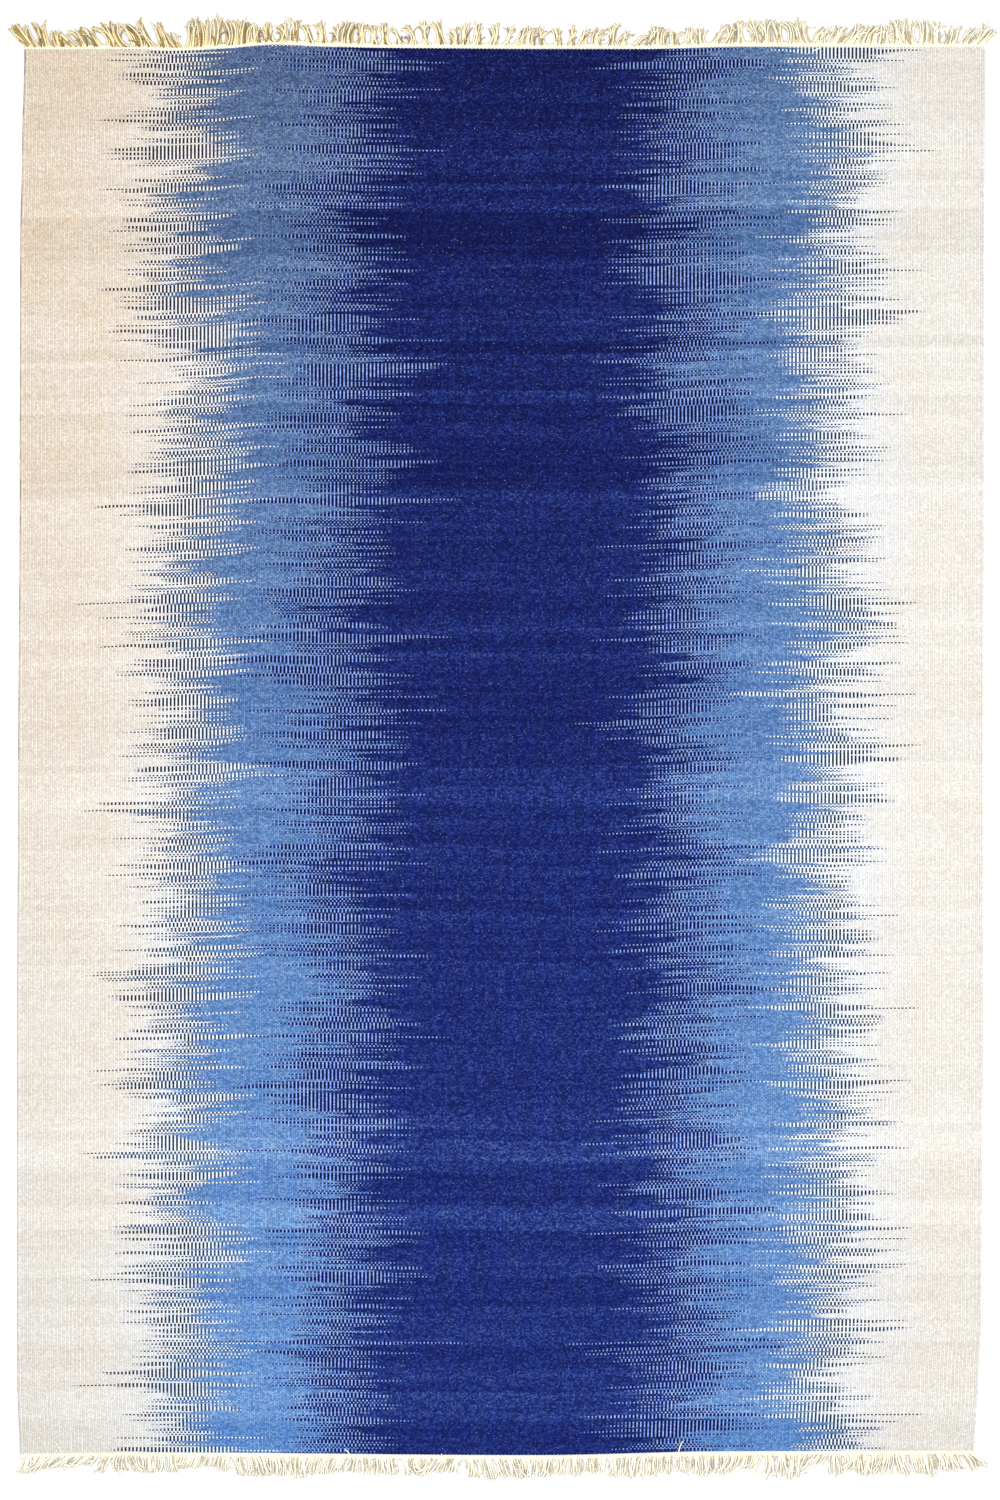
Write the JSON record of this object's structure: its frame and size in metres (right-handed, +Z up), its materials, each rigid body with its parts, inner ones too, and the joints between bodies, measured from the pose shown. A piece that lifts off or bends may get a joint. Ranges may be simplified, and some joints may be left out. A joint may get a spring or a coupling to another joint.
{
  "type": "dhurrie rug",
  "caption": "Flat-woven wool floor rug with feathered vertical bands of cream, light blue and navy, and short cotton warp fringes at both ends.",
  "frame": {"origin": "middle of the rug's underside, on the floor", "axes": "+X across the width, +Y along the length towards the far fringe, +Z up out of the face"},
  "size_m": [1.2427, 1.8567, 0.0048],
  "materials": {
    "wool_weft": "matt, weft-faced plain weave in tie-dyed wool of cream, light blue and navy",
    "cotton_warp": "matt, undyed plied cotton in short tufts"
  },
  "bodies": {
    "root": {"woven_field": "wool_weft", "fringe_far": "cotton_warp", "fringe_near": "cotton_warp"}
  },
  "joints": []
}
